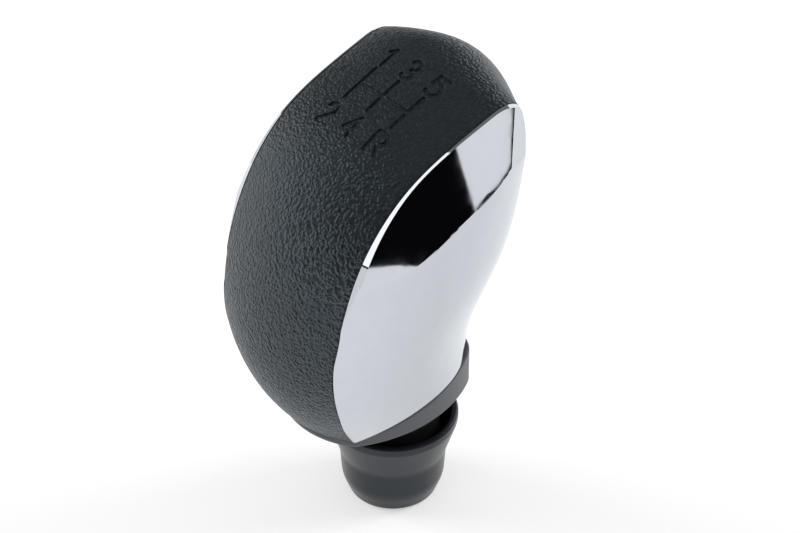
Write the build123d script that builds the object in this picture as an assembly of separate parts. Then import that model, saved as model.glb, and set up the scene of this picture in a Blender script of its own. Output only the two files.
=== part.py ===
"""A push-on gear shift knob: grained skin, two plated cheeks, collar, gaiter sleeve, core and lever bush.

Millimetres. The lever axis is Z, z = 0 is the foot, +Y is the front of the car and +X its right side.
"""
import os
from math import atan2, cos, degrees, hypot, radians, sin, tan

from build123d import *

# Skin: crest line in the side view at x = 0, from the rear over the top to the front, as (y, z, crown drop)
CREST = (
    (-16.8, 20.0, 15.0), (-23.9, 29.0, 14.0), (-29.3, 36.8, 12.0), (-32.4, 45.5, 10.4), (-32.6, 54.5, 9.0),
    (-29.8, 67.0, 7.4), (-23.4, 80.5, 6.4), (-13.0, 91.2, 6.0), (-2.2, 96.5, 6.2), (6.5, 99.9, 7.2),
    (13.5, 101.3, 8.0), (19.8, 98.6, 8.6), (23.2, 91.5, 10.0), (22.6, 80.0, 11.2), (20.6, 66.5, 10.0),
    (16.6, 55.0, 9.8), (13.0, 45.0, 12.0), (12.2, 36.0, 13.0), (13.5, 20.0, 14.0),
)
CROWN_HALF = 25.0       # half-width at which the crown drops are stated
OUTER_HALF = 22.0       # the outer form of the head is made this far out, past the cheeks
INNER_HALF = 20.0       # and the forms inside it this far
SKIN_WALL = 2.6
SKIN_ROUND = 0.7        # round of the skin's two long side edges
SKIN_EDGE_X = 8.0       # which lie outside this
SKIN_EDGE_Y = 5.0       # and this far from the lever axis

# Skin side edges in the front view, behind and ahead of the lever axis, as (z, half-width)
REAR_EDGE = (
    (16.0, 7.4), (30.5, 12.2), (36.8, 14.3), (41.0, 15.6), (46.0, 16.4), (54.0, 16.7),
    (64.0, 17.15), (76.0, 17.35), (84.0, 17.6), (92.0, 17.85), (110.0, 17.85),
)
FRONT_EDGE = (
    (16.0, 8.5), (35.5, 9.6), (45.0, 10.8), (55.0, 12.8),
    (65.0, 15.0), (76.0, 17.0), (84.0, 17.6), (92.0, 17.85), (110.0, 17.85),
)

# Cheek main face: level sections as z and then (y, x) from rear to front
CHEEK_LEVELS = (
    (20.0, ((-19.5, 7.6), (-12.0, 11.2), (-4.5, 12.9), (4.5, 12.0), (12.5, 7.0))),
    (29.0, ((-23.5, 10.8), (-14.5, 13.5), (-5.5, 14.7), (4.0, 13.4), (12.5, 8.2))),
    (38.0, ((-29.0, 14.6), (-18.0, 16.1), (-7.0, 16.4), (3.0, 14.7), (11.0, 9.6))),
    (48.0, ((-34.0, 15.8), (-21.0, 17.6), (-7.5, 18.0), (4.0, 16.0), (12.5, 11.2))),
    (60.0, ((-35.0, 15.2), (-20.0, 18.5), (-5.0, 19.8), (8.0, 18.4), (17.0, 13.2))),
    (72.0, ((-33.0, 15.2), (-17.0, 19.85), (-2.0, 20.9), (9.5, 19.9), (19.5, 14.8))),
    (84.0, ((-31.0, 15.6), (-15.0, 20.4), (-1.0, 21.2), (11.0, 20.75), (20.5, 16.9))),
    (96.0, ((-29.0, 15.6), (-13.0, 20.1), (0.0, 21.0), (11.0, 20.8), (19.5, 18.6))),
    (106.0, ((-28.0, 15.0), (-12.0, 19.4), (0.0, 20.4), (11.0, 20.4), (19.0, 18.6))),
)
CHEEK_INNER_X = 5.0     # flat inner side of the block that the cheek is cut from
CHEEK_WALL = 2.0
CHEEK_RIM_WALL = 2.2

# Cheek shoulder facet: its upper line in the side view as (y, z), its lean and where it starts
FACET_LINE = ((-29.0, 68.0), (-22.9, 77.4), (-12.9, 87.4), (-4.1, 92.3), (8.4, 97.2), (24.0, 103.0))
FACET_LEAN = 11.0       # degrees from upright
FACET_RIM_X = 18.35
FACET_OUT = 4.0         # reach of the facet above its line
FACET_DOWN = 17.0       # reach of the facet below its line

# Cheek front return facet: one point of it and the way it faces
RETURN_POINT = (20.8, 11.3, 84.9)
RETURN_NORMAL = (0.960, 0.253, 0.116)
RIDGE_ROUND = 0.9
RIDGE_X = 19.0          # ridges lie outside this
RIDGE_MIN = 3.0         # and are longer than this

# Cheek pegs that clip into the core, as (y, z)
PEG_SPOTS = ((3.0, 84.0), (-19.0, 66.0), (-5.0, 46.0))
PEG_R = 1.6
PEG_END_X = 10.0
SOCKET_DEEPER = 0.5
BOSS_WALL = 1.8

# Collar: flat underside, sloped top and its outline points as (x, y)
COLLAR_BOTTOM = 27.8
COLLAR_TOP_AT_AXIS = 33.6
COLLAR_SLOPE = 0.2      # rise of the top per millimetre forward
COLLAR_REAR = (0.0, -23.8)
COLLAR_REAR_CORNER = (11.6, -19.7)
COLLAR_SIDE = (15.5, -5.0)
COLLAR_FRONT_CORNER = (10.4, 11.6)
COLLAR_FRONT = (0.0, 14.4)
COLLAR_CORNER_R = 6.0
COLLAR_ROUND = 0.4
COLLAR_GAP = 0.35       # shadow line between the head and the collar

# Core: carrier inside the head, with the neck under it; its side pocket as (y, z)
CORE_POCKET = (
    (-13.0, 35.0), (-22.0, 46.0), (-22.5, 56.0), (-19.5, 67.0), (-13.5, 77.5), (-4.0, 84.5),
    (7.0, 89.0), (11.5, 85.0), (11.5, 73.0), (9.5, 61.0), (5.5, 50.0), (4.5, 40.0),
)
CORE_WEB = 3.0
CORE_SIDE_GAP = 0.6
CORE_BASE = 3.0
CORE_RIBS = (50.0, 66.0, 82.0)
CORE_RIB_T = 2.0
HUB_R = 10.0
HUB_TOP = 56.0
NECK_R = 9.6
NECK_TIP_R = 7.9
NECK_TIP_Z = 6.0
NECK_BEAD_R = 10.1
NECK_BEAD_H = 1.2

# Gaiter sleeve: a cup with a flared rim round the neck
SLEEVE_FOOT_R = 9.1
SLEEVE_BODY_R = 10.6
SLEEVE_BODY_Z = 4.2
SLEEVE_WAIST_R = 11.0
SLEEVE_WAIST_Z = 10.5
SLEEVE_LEDGE_Z = 15.0   # the shoulder of the neck sits here
SLEEVE_RIM_R = 13.4
SLEEVE_LIP_Z = 18.2
SLEEVE_RIM_Z = 20.0
SLEEVE_RIM_WALL = 1.2
SLEEVE_FOOT_ROUND = 1.0
SLEEVE_BODY_ROUND = 8.0
SLEEVE_WAIST_ROUND = 6.0
SLEEVE_LIP_ROUND = 2.0
SLEEVE_RIM_ROUND = 0.5

# Lever bush and its blind bore
BORE_R = 5.0
BORE_DEPTH = 46.0
BUSH_R = 6.4
BUSH_TOP = 51.0
KEY_W = 2.0
KEY_H = 1.0
KEY_FROM = 34.0

# Sunk shift pattern on the crest, in its own plane: gates along x, gears along y
PATTERN_Y = -2.2
PATTERN_Z = 96.5
PATTERN_TILT = 20.0     # degrees
GATE_PITCH = 6.8
GATE_HALF = 4.1
MARK_UP = 7.5
MARK_DOWN = 8.1
STROKE = 0.9
SUNK = 0.3
PATTERN_LIFT = 8.0      # the strokes are cut from this far above the crest

FIT = 0.05              # clearance of pieces that sit on one another
OUT_REACH = 70.0        # cutting blocks reach this far out of the knob
CUT_SPAN = 280.0        # width of the blocks that cut right across it
CUT_DEPTH = 140.0       # and how deep they go


def inward_normals(points):
    """Unit normals of an open line that runs clockwise round the part, pointing into it."""
    last = len(points) - 1
    normals = []
    for i in range(len(points)):
        before = points[max(i - 1, 0)]
        after = points[min(i + 1, last)]
        run = after[0] - before[0]
        rise = after[1] - before[1]
        length = hypot(run, rise)
        normals.append((rise / length, -run / length))
    return normals


def shifted(points, distances):
    """Points moved inward by one distance each."""
    moved = []
    for point, normal, distance in zip(points, inward_normals(points), distances):
        moved.append((point[0] + normal[0] * distance, point[1] + normal[1] * distance))
    return moved


def side_wire(points, x):
    """Closed wire at one x: a spline through (y, z) points and a straight closing line."""
    spots = [Vector(x, y, z) for y, z in points]
    return Wire([Edge.make_spline(spots), Edge.make_line(spots[-1], spots[0])])


def head_form(inset):
    """The crowned band that the skin follows, carried on past both of its edges."""
    line = [(y, z) for y, z, drop in CREST]
    half = INNER_HALF if inset > SUNK else OUTER_HALF
    wires = []
    for x in (-half, 0.0, half):
        share = (x / CROWN_HALF) ** 2
        depths = [drop * share + inset for y, z, drop in CREST]
        wires.append(side_wire(shifted(line, depths), x))
    return Solid.make_loft(wires)


def edge_block(edge, offset, direction):
    """Block between one pair of skin side edges moved outward, to one side of the lever axis."""
    right = [Vector(x + offset, 0, z) for z, x in edge]
    left = [Vector(-p.X, 0, p.Z) for p in reversed(right)]
    outline = Wire([
        Edge.make_spline(right),
        Edge.make_line(right[-1], left[0]),
        Edge.make_spline(left),
        Edge.make_line(left[-1], right[0]),
    ])
    return extrude(Face(outline), amount=OUT_REACH, dir=(0, direction, 0))


def between_edges(offset):
    """Block between the skin side edges, each moved outward by an offset."""
    return edge_block(REAR_EDGE, offset, -1) + edge_block(FRONT_EDGE, offset, 1)


def cheek_blank():
    """Block whose outer side is the main face of the right cheek."""
    wires = []
    for z, points in CHEEK_LEVELS:
        spots = [Vector(x, y, z) for y, x in points]
        rear = Vector(CHEEK_INNER_X, spots[0].Y, z)
        front = Vector(CHEEK_INNER_X, spots[-1].Y, z)
        wires.append(Wire([
            Edge.make_spline(spots),
            Edge.make_line(spots[-1], front),
            Edge.make_line(front, rear),
            Edge.make_line(rear, spots[0]),
        ]))
    return Solid.make_loft(wires)


def facet_section(depth, x):
    """Outline of the facet block at one x, with the facet line moved inward by a depth."""
    line = shifted(FACET_LINE, [depth] * len(FACET_LINE))
    spots = [Vector(x, y, z) for y, z in line]
    low_front = Vector(x, spots[-1].Y, 0)
    low_rear = Vector(x, spots[0].Y, 0)
    return Wire([
        Edge.make_spline(spots),
        Edge.make_line(spots[-1], low_front),
        Edge.make_line(low_front, low_rear),
        Edge.make_line(low_rear, spots[0]),
    ])


def facet_block():
    """Block whose outer upper side is the leaning shoulder facet of the right cheek."""
    slope = tan(radians(FACET_LEAN))
    upper_x = FACET_RIM_X - FACET_OUT * slope
    lower_x = FACET_RIM_X + FACET_DOWN * slope
    return Solid.make_loft([
        facet_section(-FACET_OUT, CHEEK_INNER_X),
        facet_section(-FACET_OUT, upper_x),
        facet_section(FACET_DOWN, lower_x),
    ], ruled=True)


def return_block():
    """Block under the front return facet of the right cheek."""
    plane = Plane(origin=RETURN_POINT, z_dir=RETURN_NORMAL)
    return extrude(plane * Rectangle(CUT_SPAN, CUT_SPAN), amount=-CUT_DEPTH)


def above_collar(gap):
    """Block over the sloped collar top, lifted by a gap."""
    plane = Plane(origin=(0, 0, COLLAR_TOP_AT_AXIS + gap), z_dir=(0, -COLLAR_SLOPE, 1))
    return extrude(plane * Rectangle(CUT_SPAN, CUT_SPAN), amount=CUT_DEPTH)


def round_bar(start, end):
    """One straight stroke with round ends."""
    middle = ((start[0] + end[0]) / 2, (start[1] + end[1]) / 2)
    length = hypot(end[0] - start[0], end[1] - start[1])
    turn = degrees(atan2(end[1] - start[1], end[0] - start[0]))
    return Pos(*middle) * SlotCenterToCenter(length, STROKE, turn)


def round_bow(centre, radius, start, span):
    """One arc stroke with round ends, angles in degrees."""
    return SlotArc(CenterArc(centre, radius, start, span), STROKE)


def mark_1():
    """Strokes of the mark for first gear."""
    return round_bar((0.3, -2.2), (0.3, 2.2)) + round_bar((0.3, 2.2), (-0.9, 1.3))


def mark_2():
    """Strokes of the mark for second gear."""
    mark = round_bow((0.0, 0.9), 1.3, 160, -200)
    mark += round_bar((1.0, 0.07), (-1.4, -2.2))
    return mark + round_bar((-1.4, -2.2), (1.5, -2.2))


def mark_3():
    """Strokes of the mark for third gear."""
    return round_bow((0.0, 1.05), 1.15, 150, -240) + round_bow((0.0, -1.1), 1.2, 90, -240)


def mark_4():
    """Strokes of the mark for fourth gear."""
    mark = round_bar((0.6, -2.2), (0.6, 2.2))
    mark += round_bar((0.6, 2.2), (-1.5, -0.9))
    return mark + round_bar((-1.5, -0.9), (1.5, -0.9))


def mark_5():
    """Strokes of the mark for fifth gear."""
    mark = round_bar((1.2, 2.2), (-1.0, 2.2))
    mark += round_bar((-1.0, 2.2), (-1.15, 0.2))
    return mark + round_bow((0.0, -0.75), 1.5, 140, -285)


def mark_r():
    """Strokes of the mark for reverse gear."""
    mark = round_bar((-1.3, -2.2), (-1.3, 2.2))
    mark += round_bar((-1.3, 2.2), (0.3, 2.2))
    mark += round_bow((0.3, 1.05), 1.15, 90, -180)
    mark += round_bar((0.3, -0.1), (-1.3, -0.1))
    return mark + round_bar((0.3, -0.1), (1.4, -2.2))


def shift_pattern():
    """The gate lines and the gear marks, flat."""
    pattern = round_bar((-GATE_PITCH, 0), (GATE_PITCH, 0))
    for column in (-1, 0, 1):
        x = column * GATE_PITCH
        pattern += round_bar((x, -GATE_HALF), (x, GATE_HALF))
    columns = ((-1, mark_1(), mark_2()), (0, mark_3(), mark_4()), (1, mark_5(), mark_r()))
    for column, upper, lower in columns:
        pattern += Pos(column * GATE_PITCH, MARK_UP) * upper
        pattern += Pos(column * GATE_PITCH, -MARK_DOWN) * lower
    return pattern


def pattern_cutter():
    """The shift pattern as a cutter that goes one sunk depth into the crest."""
    tilt = radians(PATTERN_TILT)
    up = Vector(0, -sin(tilt), cos(tilt))
    start = Vector(0, PATTERN_Y, PATTERN_Z) + up * PATTERN_LIFT
    plane = Plane(origin=start, x_dir=(1, 0, 0), z_dir=up)
    strokes = extrude(plane * shift_pattern(), amount=-2 * PATTERN_LIFT)
    return strokes - head_form(SUNK)


def skin_half(edge_line, direction):
    """The skin's outer block to one side of the lever axis, its long side edges rounded."""
    block = head_form(0) & edge_block(edge_line, 0, direction)
    upper = [edge for edge in block.edges() if edge.center().Z > COLLAR_TOP_AT_AXIS]
    outer = [edge for edge in upper if abs(edge.center().X) > SKIN_EDGE_X]
    sides = [edge for edge in outer if abs(edge.center().Y) > SKIN_EDGE_Y]
    return fillet(sides, SKIN_ROUND)


def grip_skin():
    """The moulded grained skin, rear to front, with the shift pattern sunk in it."""
    block = skin_half(REAR_EDGE, -1) + skin_half(FRONT_EDGE, 1)
    block = block & above_collar(COLLAR_GAP)
    shell = block - head_form(SKIN_WALL)
    return shell - pattern_cutter()


def cheek_body(wall, rim_wall):
    """The right cheek form, its faces moved in by a wall and its rim by a rim wall."""
    inward = Pos(-wall, 0, 0)
    faces = (inward * cheek_blank()) & (inward * facet_block()) & (inward * return_block())
    return faces & head_form(rim_wall)


def cross_pin(spot, radius, start_x):
    """Round pin along +X at a (y, z) spot."""
    pin = Cylinder(radius, OUT_REACH, align=(Align.CENTER, Align.CENTER, Align.MIN))
    return Pos(start_x, spot[0], spot[1]) * Rot(0, 90, 0) * pin


def right_cheek():
    """The plated right cheek: a thin cover with pegs."""
    body = cheek_body(0, 0) - between_edges(FIT)
    body = body & above_collar(COLLAR_GAP)
    ridges = [edge for edge in body.edges() if edge.length > RIDGE_MIN and edge.center().X > RIDGE_X]
    body = fillet(ridges, RIDGE_ROUND)
    cheek = body - cheek_body(CHEEK_WALL, CHEEK_RIM_WALL)
    backing = cheek_body(CHEEK_WALL / 2, CHEEK_RIM_WALL)
    for spot in PEG_SPOTS:
        cheek += cross_pin(spot, PEG_R, PEG_END_X) & backing
    return cheek


def collar_outline():
    """The collar oval: four arcs with rounded corners."""
    rear_right = COLLAR_REAR_CORNER
    rear_left = (-rear_right[0], rear_right[1])
    front_right = COLLAR_FRONT_CORNER
    front_left = (-front_right[0], front_right[1])
    side_left = (-COLLAR_SIDE[0], COLLAR_SIDE[1])
    line = ThreePointArc(rear_left, COLLAR_REAR, rear_right)
    line += ThreePointArc(rear_right, COLLAR_SIDE, front_right)
    line += ThreePointArc(front_right, COLLAR_FRONT, front_left)
    line += ThreePointArc(front_left, side_left, rear_left)
    oval = make_face(line)
    return fillet(oval.vertices(), COLLAR_CORNER_R)


def collar_ring():
    """The satin wedge collar round the neck."""
    ring = Pos(0, 0, COLLAR_BOTTOM) * extrude(collar_outline(), amount=OUT_REACH)
    ring -= above_collar(0)
    lower_rim = ring.faces().sort_by(Axis.Z)[0].edges()
    upper_rim = ring.faces().sort_by(Axis.Z)[-1].edges()
    ring = fillet(lower_rim + upper_rim, COLLAR_ROUND)
    return ring - post(NECK_R + FIT, 0, OUT_REACH)


def level_plate(z, thickness):
    """Wide level plate that starts at a height."""
    plate = Box(CUT_SPAN, CUT_SPAN, thickness, align=(Align.CENTER, Align.CENTER, Align.MIN))
    return Pos(0, 0, z) * plate


def post(radius, bottom, top):
    """Upright round post on the lever axis."""
    bar = Cylinder(radius, top - bottom, align=(Align.CENTER, Align.CENTER, Align.MIN))
    return Pos(0, 0, bottom) * bar


def core_pocket():
    """What is left open on the right side of the core, under the cheek."""
    outline = Wire.make_polygon([(CORE_WEB / 2, y, z) for y, z in CORE_POCKET])
    pocket = extrude(Face(outline), amount=OUT_REACH, dir=(1, 0, 0))
    pocket = pocket & above_collar(CORE_BASE)
    pocket -= post(HUB_R, 0, HUB_TOP)
    for z in CORE_RIBS:
        pocket -= level_plate(z - CORE_RIB_T / 2, CORE_RIB_T)
    for spot in PEG_SPOTS:
        pocket -= cross_pin(spot, PEG_R + FIT + BOSS_WALL, 0)
    return pocket


def bush_blank(clearance):
    """The outside of the lever bush with its two keys, grown by a clearance."""
    blank = post(BUSH_R + clearance, 0, BUSH_TOP + clearance)
    key_top = BUSH_TOP + clearance - KEY_FROM
    key = Box(
        2 * (BUSH_R + KEY_H + clearance), KEY_W + 2 * clearance, key_top,
        align=(Align.CENTER, Align.CENTER, Align.MIN))
    return blank + Pos(0, 0, KEY_FROM) * key


def core():
    """The moulded carrier: a rim under the skin, a middle web, ribs, the hub and the neck."""
    body = head_form(SKIN_WALL + FIT) & between_edges(-CORE_SIDE_GAP)
    body = body & above_collar(0)
    pocket = core_pocket()
    body = body - pocket - mirror(pocket, about=Plane.YZ)
    neck_top = COLLAR_TOP_AT_AXIS + CORE_BASE / 2
    body += post(NECK_R, SLEEVE_LEDGE_Z, neck_top)
    body += post(NECK_TIP_R, NECK_TIP_Z, neck_top)
    body += post(NECK_BEAD_R, COLLAR_BOTTOM - FIT - NECK_BEAD_H, COLLAR_BOTTOM - FIT)
    body -= bush_blank(FIT)
    for spot in PEG_SPOTS:
        socket = cross_pin(spot, PEG_R + FIT, PEG_END_X - SOCKET_DEEPER)
        body = body - socket - mirror(socket, about=Plane.YZ)
    return body


def lever_bush():
    """The bush with the blind lever bore."""
    return bush_blank(0) - post(BORE_R, 0, BORE_DEPTH)


def ring_edges(solid, radius, z):
    """Round edges of a turned solid with one radius, at one height."""
    circles = solid.edges().filter_by(GeomType.CIRCLE)
    level = [edge for edge in circles if abs(edge.arc_center.Z - z) < FIT]
    return [edge for edge in level if abs(edge.radius - radius) < FIT]


def gaiter_sleeve():
    """The gloss cup round the neck, with a flared rim for the gaiter hem."""
    outline = Polyline(
        (BUSH_R + FIT, 0),
        (SLEEVE_FOOT_R, 0),
        (SLEEVE_BODY_R, SLEEVE_BODY_Z),
        (SLEEVE_WAIST_R, SLEEVE_WAIST_Z),
        (SLEEVE_RIM_R, SLEEVE_LIP_Z),
        (SLEEVE_RIM_R, SLEEVE_RIM_Z),
        (SLEEVE_RIM_R - SLEEVE_RIM_WALL, SLEEVE_RIM_Z),
        (NECK_R + FIT, SLEEVE_LEDGE_Z),
        (NECK_TIP_R + FIT, SLEEVE_LEDGE_Z),
        (NECK_TIP_R + FIT, NECK_TIP_Z),
        (BUSH_R + FIT, NECK_TIP_Z),
        close=True,
    )
    sleeve = revolve(Plane.XZ * make_face(outline), Axis.Z)
    rounds = (
        (SLEEVE_FOOT_R, 0, SLEEVE_FOOT_ROUND),
        (SLEEVE_BODY_R, SLEEVE_BODY_Z, SLEEVE_BODY_ROUND),
        (SLEEVE_WAIST_R, SLEEVE_WAIST_Z, SLEEVE_WAIST_ROUND),
        (SLEEVE_RIM_R, SLEEVE_LIP_Z, SLEEVE_LIP_ROUND),
        (SLEEVE_RIM_R, SLEEVE_RIM_Z, SLEEVE_RIM_ROUND),
        (SLEEVE_RIM_R - SLEEVE_RIM_WALL, SLEEVE_RIM_Z, SLEEVE_RIM_ROUND),
    )
    for radius, z, size in rounds:
        sleeve = fillet(ring_edges(sleeve, radius, z), size)
    return sleeve


def main():
    """Make every piece and write it to its own file."""
    os.makedirs("parts", exist_ok=True)
    cheek = right_cheek()
    parts = {
        "grip_skin": grip_skin(),
        "right_cheek": cheek,
        "left_cheek": mirror(cheek, about=Plane.YZ),
        "collar_ring": collar_ring(),
        "gaiter_sleeve": gaiter_sleeve(),
        "core": core(),
        "lever_bush": lever_bush(),
    }
    for name, part in parts.items():
        export_step(part, "parts/" + name + ".step")


main()
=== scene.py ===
"""Studio picture of the gear shift knob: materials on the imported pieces, floor, soft light and camera.

Metres. The lever axis is Z, z = 0 is the foot, +Y is the front of the car and +X its right side.
"""
import math

import bpy
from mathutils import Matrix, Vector

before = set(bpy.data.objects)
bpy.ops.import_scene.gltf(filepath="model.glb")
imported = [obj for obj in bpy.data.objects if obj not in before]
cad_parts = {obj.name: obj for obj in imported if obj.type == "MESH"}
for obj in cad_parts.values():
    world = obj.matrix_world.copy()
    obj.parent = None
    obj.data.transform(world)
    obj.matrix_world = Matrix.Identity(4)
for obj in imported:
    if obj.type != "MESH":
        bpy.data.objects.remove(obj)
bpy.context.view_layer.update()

# Camera, turned round the lever axis from straight behind the knob
CAMERA_TARGET = Vector((0.0, 0.00194, 0.05494))
CAMERA_AZIMUTH = 49.5       # degrees
CAMERA_ELEVATION = 37.0     # degrees
CAMERA_DISTANCE = 0.485
CAMERA_SENSOR = 36.0        # millimetres
CAMERA_LENS = 111.375       # millimetres
CAMERA_NEAR = 0.01          # nothing closer than this is drawn

# Plain colours, and the roughness of floor and dark cards
WHITE = (1.0, 1.0, 1.0, 1.0)
BLACK = (0.0, 0.0, 0.0, 1.0)
CARD_COLOUR = (0.004, 0.004, 0.005, 1.0)
MATTE_ROUGHNESS = 0.9

# Floor and world
FLOOR_HALF = 3.0
FLOOR_DROP = 0.0002
FLOOR_COLOUR = (0.76, 0.76, 0.765, 1.0)
FLOOR_WHITE = 0.46          # what the floor adds of itself to what is seen of it
SKY_DIFFUSE = 0.5           # world strength for diffuse light
SKY_GLOSS = 0.21            # world strength that gloss sees

# Soft lamps as name, place, edge length and power
LAMPS = (
    ("side_lamp", (-0.80, -0.60, 0.55), 0.6, 5.0),
    ("back_lamp", (0.50, 0.90, 0.75), 0.5, 5.0),
)
LAMP_AIM = Vector((0.0, 0.0, 0.05))

# Dark upright cards seen by gloss only, as name, two ends (x, y) and the bottom and top z
DARK_CARDS = (
    ("facet_card", (0.160, -0.080), (0.160, 0.0745), 0.0065, 0.090),
    ("ridge_card", (0.105, 0.040), (0.105, 0.200), 0.0, 0.020),
    ("crease_card", (0.150, 0.100), (0.092, 0.158), 0.0, 0.050),
    ("rear_card", (-0.240, -0.400), (0.500, -0.400), 0.0, 0.700),
)
# Dark card round the front end of the facet's mirror picture: its x and its outline as (y, z)
FRAME_CARD_X = 0.160
FRAME_CARD = (
    (0.0750, 0.0), (0.0750, 0.0258), (0.0805, 0.0284), (0.0855, 0.0301), (0.0898, 0.0327),
    (0.0914, 0.0346), (0.0952, 0.0448), (0.0960, 0.0500), (0.2000, 0.0500), (0.2000, 0.0),
)
# Narrow light seen by gloss only, behind and over the knob, which the rim of the cheek mirrors
STRIP_BEHIND_X = (0.004, 0.036)
STRIP_OVER_X = (-0.025, 0.036)
STRIP_Y = (-0.390, -0.020)
STRIP_Z = (0.165, 0.900)
STRIP_STRENGTH = 1.6
# Wide light cards seen by gloss only, as name, two ends (x, y), the bottom and top z, and strength
LIGHT_CARDS = (
    ("back_card", (-0.600, 0.900), (0.200, 0.900), 0.0, 0.950, 1.3),
    ("left_card", (-0.900, -0.750), (-0.900, 0.050), 0.0, 0.250, 1.0),
    ("left_box", (-0.900, -0.350), (-0.600, -0.700), 0.250, 0.750, 1.7),
    ("strip_low", (0.004, -0.390), (0.036, -0.390), 0.0, 0.158, 0.95),
)

# Noise: its detail, and the middle of its colours. Each scale below counts cells to the metre
SMOOTH_NOISE = 1.0
PLAIN_NOISE = 2.0
BUSY_NOISE = 3.0
NOISE_MIDDLE = (0.5, 0.5, 0.5)

# Skin: colours and roughness go from the creases of the grain to the crowns of its pebbles; the darker
# colour in the creases is painted shade
SKIN_COLOURS = ((0.003, 0.0040, 0.0055), (0.011, 0.0145, 0.019))
SKIN_ROUGHNESS = (0.40, 0.30)
SKIN_IOR = 1.80
SKIN_TINT = (0.72, 0.89, 1.0, 1.0)
PATCH_SCALE = 140.0
PATCH_SHARES = (0.7, 1.0)       # wide patches dim the pebbles' tone to between these
# Grain of the skin
WARP_SCALE = 800.0
WARP_REACH = 0.0012
PEBBLE_SCALE = 1450.0
PEBBLE_SMOOTHNESS = 0.35
PEBBLE_SPAN = (0.1, 0.75)       # cell distance at a crown and in a crease
FINE_SCALE = 2600.0
FINE_ROUGHNESS = 0.6
FINE_SHARE = 0.35               # height of the fine noise against a pebble's
GRAIN_DEPTH = 0.00060
GRAIN_SHARES = (1.0, 0.32)      # share of the depth low down and high up
GRAIN_SPAN = (0.045, 0.085)     # z where the depth starts and stops to change
# Short folds across the side edges of the skin
PUCKER_STRETCH = (0.2, 1.0, 1.0)
PUCKER_SCALE = 900.0
PUCKER_SPAN = (0.0125, 0.0165)  # x where the folds start and where they are full
PUCKER_HEIGHT = 1.2             # against a pebble's
# Sunk strokes of the shift pattern: painted shade darkens the colour in them by their occlusion, their
# roughness rises and their edges are rounded in shading
STROKE_SHADE_REACH = 0.0008
STROKE_SHADE_SPAN = (0.5, 0.9)        # openness in a stroke and on an open face
STROKE_SHADE_SAMPLES = 8
STROKE_ROUGHNESS = 0.9
STROKE_ROUND = 0.0003
STROKE_ROUND_SAMPLES = 6

# Chrome plating
HAZE_SCALE = 300.0
HAZE_SPAN = (0.3, 0.7)          # haze over which the roughness changes
PLATING_COLOURS = ((0.55, 0.575, 0.615), (0.59, 0.615, 0.655))
PLATING_ROUGHNESS = (0.02, 0.05)
RIPPLE_SCALE = 70.0
RIPPLE_DEPTH = 0.00002
RIPPLE_STRENGTH = 0.5

# Satin collar
COLLAR_SCALE = 2400.0
COLLAR_COLOURS = ((0.088, 0.096, 0.106), (0.118, 0.127, 0.138))
COLLAR_ROUGHNESS = (0.38, 0.48)
COLLAR_DEPTH = 0.00002
COLLAR_STRENGTH = 0.6

# Gloss sleeve
SLEEVE_SCALE = 180.0
SLEEVE_COLOURS = ((0.007, 0.0085, 0.0105), (0.012, 0.0145, 0.018))
SLEEVE_ROUGHNESS = (0.26, 0.34)
SLEEVE_TINT = (0.80, 0.90, 1.0, 1.0)
SLEEVE_DEPTH = 0.00003
SLEEVE_STRENGTH = 0.5

# Moulded inner pieces
MOULDED_SCALE = 1800.0
MOULDED_ROUGHNESS = (0.5, 0.65)
MOULDED_DEPTH = 0.00003
MOULDED_STRENGTH = 0.5
CORE_COLOURS = ((0.008, 0.008, 0.009), (0.016, 0.016, 0.018))
BUSH_COLOURS = ((0.07, 0.07, 0.075), (0.10, 0.10, 0.11))


def new_material(name):
    """An empty node material with its principled shader and output."""
    material = bpy.data.materials.new(name)
    material.use_nodes = True
    tree = material.node_tree
    tree.nodes.clear()
    output = tree.nodes.new("ShaderNodeOutputMaterial")
    shader = tree.nodes.new("ShaderNodeBsdfPrincipled")
    tree.links.new(shader.outputs["BSDF"], output.inputs["Surface"])
    return material, tree, shader


def feed(tree, value, socket):
    """Give a socket a value, which is a number or another socket."""
    if isinstance(value, (int, float)):
        socket.default_value = value
    else:
        tree.links.new(value, socket)


def object_place(tree):
    """The object coordinate, which is the place in the part's frame."""
    return tree.nodes.new("ShaderNodeTexCoord").outputs["Object"]


def along(tree, place, axis):
    """One coordinate of a place."""
    node = tree.nodes.new("ShaderNodeSeparateXYZ")
    tree.links.new(place, node.inputs["Vector"])
    return node.outputs[axis]


def noise_outputs(tree, place, scale, detail, roughness=0.5):
    """The outputs of a noise texture."""
    node = tree.nodes.new("ShaderNodeTexNoise")
    node.inputs["Scale"].default_value = scale
    node.inputs["Detail"].default_value = detail
    node.inputs["Roughness"].default_value = roughness
    tree.links.new(place, node.inputs["Vector"])
    return node.outputs


def ramp(tree, value, results, span=(0.0, 1.0), smooth=False):
    """The first to the second result, as the value goes over its span."""
    node = tree.nodes.new("ShaderNodeMapRange")
    if smooth:
        node.interpolation_type = "SMOOTHSTEP"
    node.inputs["From Min"].default_value, node.inputs["From Max"].default_value = span
    node.inputs["To Min"].default_value, node.inputs["To Max"].default_value = results
    tree.links.new(value, node.inputs["Value"])
    return node.outputs["Result"]


def colour_between(tree, value, colours):
    """A colour that goes from the first to the second as the value goes from 0 to 1."""
    first, second = colours
    node = tree.nodes.new("ShaderNodeMix")
    node.data_type = "RGBA"
    node.inputs["A"].default_value = (*first, 1.0)
    node.inputs["B"].default_value = (*second, 1.0)
    tree.links.new(value, node.inputs["Factor"])
    return node.outputs["Result"]


def math_node(tree, operation, first, second=0.0):
    """One operation on values that are sockets or numbers."""
    node = tree.nodes.new("ShaderNodeMath")
    node.operation = operation
    feed(tree, first, node.inputs[0])
    feed(tree, second, node.inputs[1])
    return node.outputs["Value"]


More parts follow.
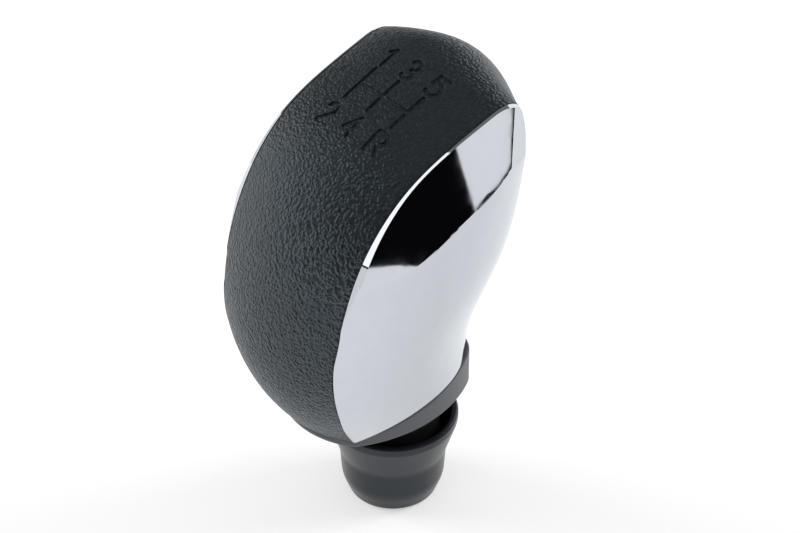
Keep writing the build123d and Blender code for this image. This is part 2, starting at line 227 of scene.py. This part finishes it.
def vector_node(tree, operation, first, second):
    """One operation on two vectors, of which the second may be three plain numbers."""
    node = tree.nodes.new("ShaderNodeVectorMath")
    node.operation = operation
    tree.links.new(first, node.inputs[0])
    if isinstance(second, tuple):
        node.inputs[1].default_value = second
    else:
        tree.links.new(second, node.inputs[1])
    return node.outputs["Vector"]


def bump(tree, height, depth, strength, under=None):
    """A bump normal of a depth in metres."""
    node = tree.nodes.new("ShaderNodeBump")
    node.inputs["Distance"].default_value = depth
    feed(tree, strength, node.inputs["Strength"])
    tree.links.new(height, node.inputs["Height"])
    if under is not None:
        tree.links.new(under, node.inputs["Normal"])
    return node.outputs["Normal"]


def warped_place(tree, place):
    """The place pushed about by noise, so that the pebbles come out uneven."""
    push = noise_outputs(tree, place, WARP_SCALE, PLAIN_NOISE)["Color"]
    centred = vector_node(tree, "SUBTRACT", push, NOISE_MIDDLE)
    shift = vector_node(tree, "MULTIPLY", centred, (WARP_REACH, WARP_REACH, WARP_REACH))
    return vector_node(tree, "ADD", place, shift)


def pebble_heights(tree, place):
    """High in the middle of each cell and low in the creases."""
    node = tree.nodes.new("ShaderNodeTexVoronoi")
    node.feature = "SMOOTH_F1"
    node.inputs["Scale"].default_value = PEBBLE_SCALE
    node.inputs["Smoothness"].default_value = PEBBLE_SMOOTHNESS
    tree.links.new(place, node.inputs["Vector"])
    return ramp(tree, node.outputs["Distance"], (1.0, 0.0), PEBBLE_SPAN, smooth=True)


def painted_stroke_shade(tree):
    """1 on open faces and towards 0 in the sunk strokes, by ambient occlusion; the skin uses it for
    painted shade in the strokes and for their roughness.
    """
    node = tree.nodes.new("ShaderNodeAmbientOcclusion")
    node.samples = STROKE_SHADE_SAMPLES
    node.inputs["Distance"].default_value = STROKE_SHADE_REACH
    return ramp(tree, node.outputs["AO"], (0.0, 1.0), STROKE_SHADE_SPAN, smooth=True)


def rounded_edges(tree):
    """Normals that go round the edges of the sunk strokes."""
    node = tree.nodes.new("ShaderNodeBevel")
    node.samples = STROKE_ROUND_SAMPLES
    node.inputs["Radius"].default_value = STROKE_ROUND
    return node.outputs["Normal"]


def edge_puckers(tree, place):
    """Short folds across the side edges of the skin, and nothing away from them."""
    stretched = vector_node(tree, "MULTIPLY", place, PUCKER_STRETCH)
    folds = noise_outputs(tree, stretched, PUCKER_SCALE, SMOOTH_NOISE)["Fac"]
    out = math_node(tree, "ABSOLUTE", along(tree, place, "X"))
    near_edge = ramp(tree, out, (0.0, PUCKER_HEIGHT), PUCKER_SPAN, smooth=True)
    return math_node(tree, "MULTIPLY", folds, near_edge)


def grain_height(tree, place, pebbles):
    """The pebbles with fine noise and the edge folds on them."""
    fine = noise_outputs(tree, place, FINE_SCALE, PLAIN_NOISE, FINE_ROUGHNESS)["Fac"]
    height = math_node(tree, "ADD", pebbles, math_node(tree, "MULTIPLY", fine, FINE_SHARE))
    return math_node(tree, "ADD", height, edge_puckers(tree, place))


def skin_material():
    """Charcoal black soft plastic with a moulded leather grain, and painted shade in the creases of the
    grain and in the sunk strokes.
    """
    material, tree, shader = new_material("grained_skin")
    place = object_place(tree)
    pebbles = pebble_heights(tree, warped_place(tree, place))
    height = grain_height(tree, place, pebbles)
    share = ramp(tree, along(tree, place, "Z"), GRAIN_SHARES, GRAIN_SPAN, smooth=True)
    normal = bump(tree, height, GRAIN_DEPTH, share, under=rounded_edges(tree))
    tree.links.new(normal, shader.inputs["Normal"])
    stroke_shade_mask = painted_stroke_shade(tree)
    patches = noise_outputs(tree, place, PATCH_SCALE, BUSY_NOISE)["Fac"]
    # Painted shade in the creases of the grain: the colour follows the pebbles' height, dark in the
    # creases and light on the crowns, and wide patches dim it at random
    tone = math_node(tree, "MULTIPLY", pebbles, ramp(tree, patches, PATCH_SHARES))
    # Painted shade: the colour darkens in the sunk strokes by their occlusion
    tone = math_node(tree, "MULTIPLY", tone, stroke_shade_mask)
    tree.links.new(colour_between(tree, tone, SKIN_COLOURS), shader.inputs["Base Color"])
    in_strokes = ramp(tree, stroke_shade_mask, (STROKE_ROUGHNESS, 0.0))
    rough = math_node(tree, "MAXIMUM", ramp(tree, pebbles, SKIN_ROUGHNESS), in_strokes)
    tree.links.new(rough, shader.inputs["Roughness"])
    shader.inputs["IOR"].default_value = SKIN_IOR
    shader.inputs["Specular Tint"].default_value = SKIN_TINT
    return material


def plating_material():
    """Bright chrome plating with the faint ripple of a moulded base under it."""
    material, tree, shader = new_material("chrome_plating")
    place = object_place(tree)
    shader.inputs["Metallic"].default_value = 1.0
    haze = noise_outputs(tree, place, HAZE_SCALE, BUSY_NOISE)["Fac"]
    tree.links.new(colour_between(tree, haze, PLATING_COLOURS), shader.inputs["Base Color"])
    tree.links.new(ramp(tree, haze, PLATING_ROUGHNESS, HAZE_SPAN), shader.inputs["Roughness"])
    ripple = noise_outputs(tree, place, RIPPLE_SCALE, SMOOTH_NOISE)["Fac"]
    tree.links.new(bump(tree, ripple, RIPPLE_DEPTH, RIPPLE_STRENGTH), shader.inputs["Normal"])
    return material


def follow(tree, shader, pattern, colours, roughness, depth, strength):
    """Colour, roughness and relief that all follow one pattern."""
    tree.links.new(colour_between(tree, pattern, colours), shader.inputs["Base Color"])
    tree.links.new(ramp(tree, pattern, roughness), shader.inputs["Roughness"])
    tree.links.new(bump(tree, pattern, depth, strength), shader.inputs["Normal"])


def collar_material():
    """Satin grey painted trim."""
    material, tree, shader = new_material("satin_collar")
    speck = noise_outputs(tree, object_place(tree), COLLAR_SCALE, PLAIN_NOISE)["Fac"]
    follow(tree, shader, speck, COLLAR_COLOURS, COLLAR_ROUGHNESS, COLLAR_DEPTH, COLLAR_STRENGTH)
    return material


def sleeve_material():
    """Gloss black moulded plastic."""
    material, tree, shader = new_material("gloss_sleeve")
    flow = noise_outputs(tree, object_place(tree), SLEEVE_SCALE, BUSY_NOISE)["Fac"]
    follow(tree, shader, flow, SLEEVE_COLOURS, SLEEVE_ROUGHNESS, SLEEVE_DEPTH, SLEEVE_STRENGTH)
    shader.inputs["Specular Tint"].default_value = SLEEVE_TINT
    return material


def moulded_material(name, colours):
    """As-moulded plastic with a fine sparked surface."""
    material, tree, shader = new_material(name)
    grain = noise_outputs(tree, object_place(tree), MOULDED_SCALE, BUSY_NOISE)["Fac"]
    follow(tree, shader, grain, colours, MOULDED_ROUGHNESS, MOULDED_DEPTH, MOULDED_STRENGTH)
    return material


def dress(node_names, material):
    """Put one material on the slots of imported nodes."""
    for name in node_names:
        for material_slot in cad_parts[name].material_slots:
            material_slot.material = material


def ray_kind(tree, names):
    """1 for the named kinds of ray and 0 for all others."""
    path = tree.nodes.new("ShaderNodeLightPath")
    total = path.outputs[names[0]]
    for name in names[1:]:
        total = math_node(tree, "MAXIMUM", total, path.outputs[name])
    return total


def flat_mesh(name, corner_points):
    """One flat sheet."""
    mesh = bpy.data.meshes.new(name)
    mesh.from_pydata(corner_points, [], [tuple(range(len(corner_points)))])
    sheet = bpy.data.objects.new(name, mesh)
    bpy.context.scene.collection.objects.link(sheet)
    return sheet


def make_matte(shader, colour):
    """A plain colour without gloss."""
    shader.inputs["Base Color"].default_value = colour
    shader.inputs["Roughness"].default_value = MATTE_ROUGHNESS
    shader.inputs["Specular IOR Level"].default_value = 0.0


def make_floor():
    """A wide pale floor under the foot."""
    h = FLOOR_HALF
    z = -FLOOR_DROP
    floor = flat_mesh("floor", [(-h, -h, z), (h, -h, z), (h, h, z), (-h, h, z)])
    material, tree, shader = new_material("pale_floor")
    make_matte(shader, FLOOR_COLOUR)
    shader.inputs["Emission Color"].default_value = WHITE
    seen = ray_kind(tree, ("Is Camera Ray", "Is Glossy Ray", "Is Transmission Ray"))
    tree.links.new(math_node(tree, "MULTIPLY", seen, FLOOR_WHITE), shader.inputs["Emission Strength"])
    floor.data.materials.append(material)


def gloss_card(name, corner_points, material):
    """One flat card that only gloss sees."""
    card = flat_mesh(name, corner_points)
    card.data.materials.append(material)
    card.visible_camera = False
    card.visible_diffuse = False
    card.visible_shadow = False


def upright(first, second, low, high):
    """The four corners of an upright card."""
    return [(*first, low), (*second, low), (*second, high), (*first, high)]


def make_dark_cards():
    """The dark cards that the chrome mirrors."""
    material, _, shader = new_material("card_black")
    make_matte(shader, CARD_COLOUR)
    for name, first, second, low, high in DARK_CARDS:
        gloss_card(name, upright(first, second, low, high), material)
    gloss_card("frame_card", [(FRAME_CARD_X, y, z) for y, z in FRAME_CARD], material)


def light_material(name, strength):
    """A plain white light of a strength."""
    material, _, shader = new_material(name)
    shader.inputs["Base Color"].default_value = BLACK
    shader.inputs["Emission Color"].default_value = WHITE
    shader.inputs["Emission Strength"].default_value = strength
    return material


def make_light_cards():
    """The wide lights round the knob, and the narrow one behind and over it."""
    for name, first, second, low, high, strength in LIGHT_CARDS:
        gloss_card(name, upright(first, second, low, high), light_material(name, strength))
    material = light_material("strip_white", STRIP_STRENGTH)
    (rear, front), (low, high) = STRIP_Y, STRIP_Z
    left, right = STRIP_BEHIND_X
    gloss_card("strip_behind", upright((left, rear), (right, rear), low, high), material)
    left, right = STRIP_OVER_X
    over = [(left, rear, high), (right, rear, high), (right, front, high), (left, front, high)]
    gloss_card("strip_over", over, material)


def make_world():
    """Even soft light, white to the camera and dim to gloss."""
    world = bpy.data.worlds.new("studio")
    bpy.context.scene.world = world
    world.use_nodes = True
    tree = world.node_tree
    tree.nodes.clear()
    output = tree.nodes.new("ShaderNodeOutputWorld")
    background = tree.nodes.new("ShaderNodeBackground")
    background.inputs["Color"].default_value = WHITE
    tree.links.new(background.outputs["Background"], output.inputs["Surface"])
    seen = ray_kind(tree, ("Is Glossy Ray", "Is Transmission Ray"))
    camera = ray_kind(tree, ("Is Camera Ray",))
    strength = math_node(tree, "ADD", math_node(tree, "MULTIPLY", seen, SKY_GLOSS), camera)
    other = math_node(tree, "SUBTRACT", 1.0, math_node(tree, "MAXIMUM", seen, camera))
    strength = math_node(tree, "ADD", strength, math_node(tree, "MULTIPLY", other, SKY_DIFFUSE))
    tree.links.new(strength, background.inputs["Strength"])


def facing(direction):
    """The turn of a lamp or camera that looks in a direction."""
    return direction.to_track_quat("-Z", "Y").to_euler()


def make_lamps():
    """Large soft lamps that face the knob."""
    for name, place, edge, power in LAMPS:
        lamp = bpy.data.lights.new(name, "AREA")
        lamp.size = edge
        lamp.energy = power
        holder = bpy.data.objects.new(name, lamp)
        holder.location = place
        holder.visible_glossy = False
        holder.rotation_euler = facing(LAMP_AIM - Vector(place))
        bpy.context.scene.collection.objects.link(holder)


def make_camera():
    """The camera at the picture's angle."""
    azimuth = math.radians(CAMERA_AZIMUTH)
    elevation = math.radians(CAMERA_ELEVATION)
    level = math.cos(elevation)
    back = Vector((math.sin(azimuth) * level, -math.cos(azimuth) * level, math.sin(elevation)))
    camera = bpy.data.cameras.new("camera")
    camera.sensor_fit = "HORIZONTAL"
    camera.sensor_width = CAMERA_SENSOR
    camera.lens = CAMERA_LENS
    camera.clip_start = CAMERA_NEAR
    holder = bpy.data.objects.new("camera", camera)
    holder.location = CAMERA_TARGET + back * CAMERA_DISTANCE
    holder.rotation_euler = facing(-back)
    bpy.context.scene.collection.objects.link(holder)
    bpy.context.scene.camera = holder


dress(("grip_skin",), skin_material())
dress(("right_cheek", "left_cheek"), plating_material())
dress(("collar_ring",), collar_material())
dress(("gaiter_sleeve",), sleeve_material())
dress(("core",), moulded_material("moulded_core", CORE_COLOURS))
dress(("lever_bush",), moulded_material("moulded_bush", BUSH_COLOURS))
make_floor()
make_dark_cards()
make_light_cards()
make_world()
make_lamps()
make_camera()
bpy.context.scene.view_settings.view_transform = "Standard"
